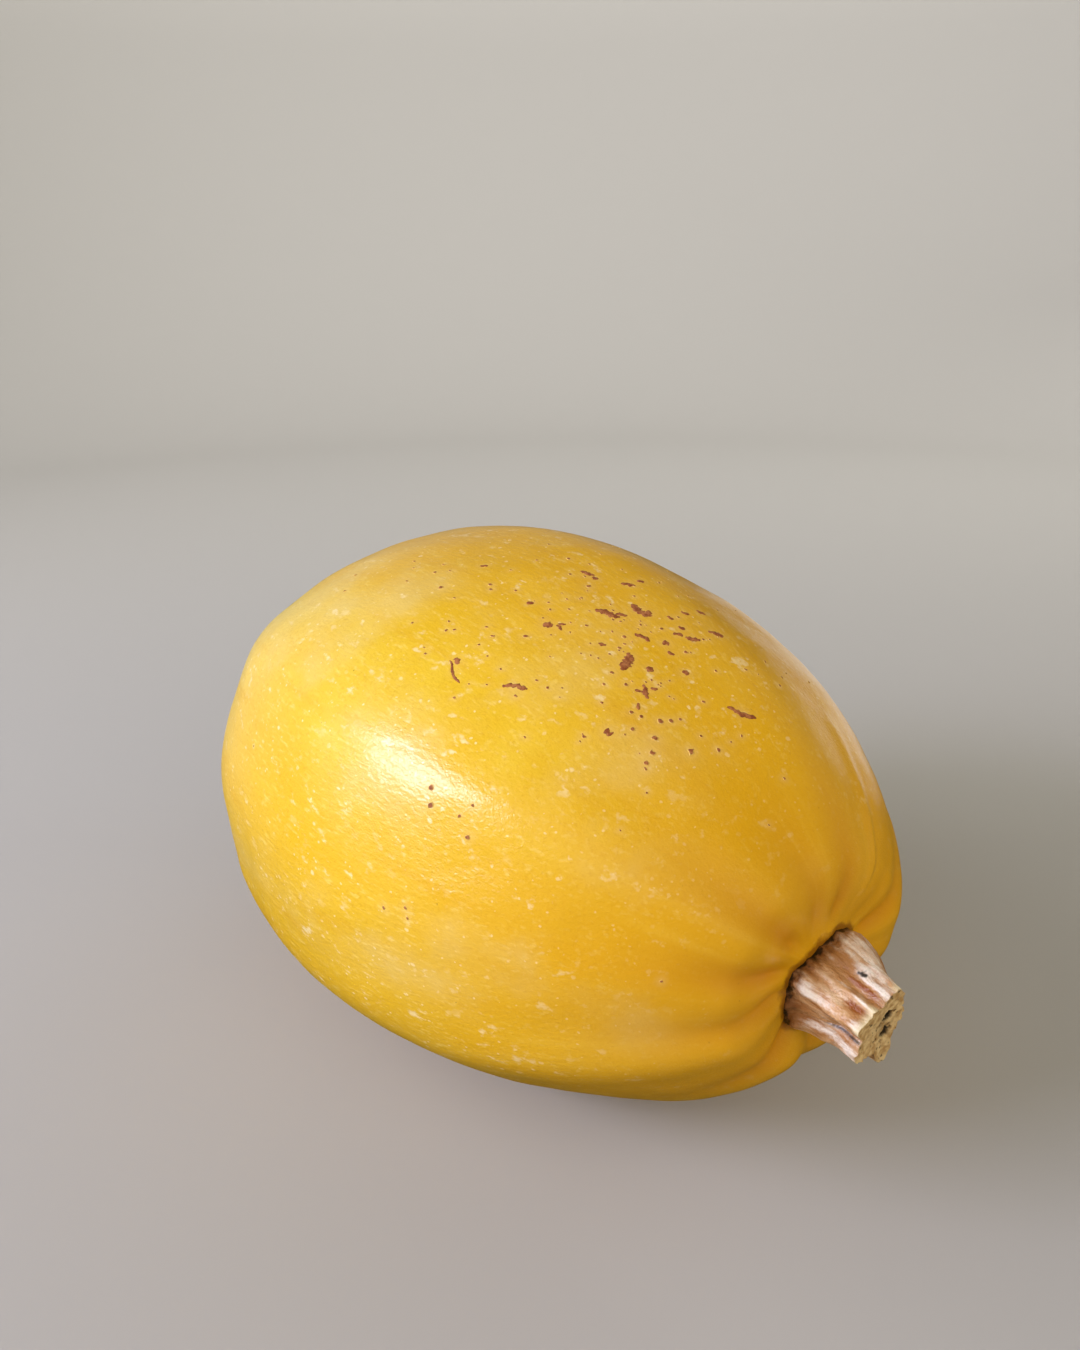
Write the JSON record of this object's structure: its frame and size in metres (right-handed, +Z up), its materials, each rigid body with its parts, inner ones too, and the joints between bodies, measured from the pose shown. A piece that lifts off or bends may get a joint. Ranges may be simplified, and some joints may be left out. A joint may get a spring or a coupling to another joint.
{
  "type": "spaghetti squash",
  "caption": "Ripe spaghetti squash lying on its side: a golden, softly ribbed oval fruit with flecks and small scabs, and a short woody ribbed stem cut at its end.",
  "frame": {"origin": "on the ground, under the middle of the bounding box of the fruit and its stem together", "axes": "+X along the fruit from its blossom end to its stem, +Z up as it lies on its side, so +Y completes the frame"},
  "size_m": [0.2246, 0.1572, 0.1335],
  "materials": {
    "rind": "hard waxy rind with a satin gloss, golden yellow, with pale flecks and a few small brown scabs",
    "woody_stem": "dry tan stem with a faint silvery sheen on its ribs, and a pale pithy cut face"
  },
  "bodies": {
    "root": {"squash_body": "rind", "stem": "woody_stem"}
  },
  "joints": []
}
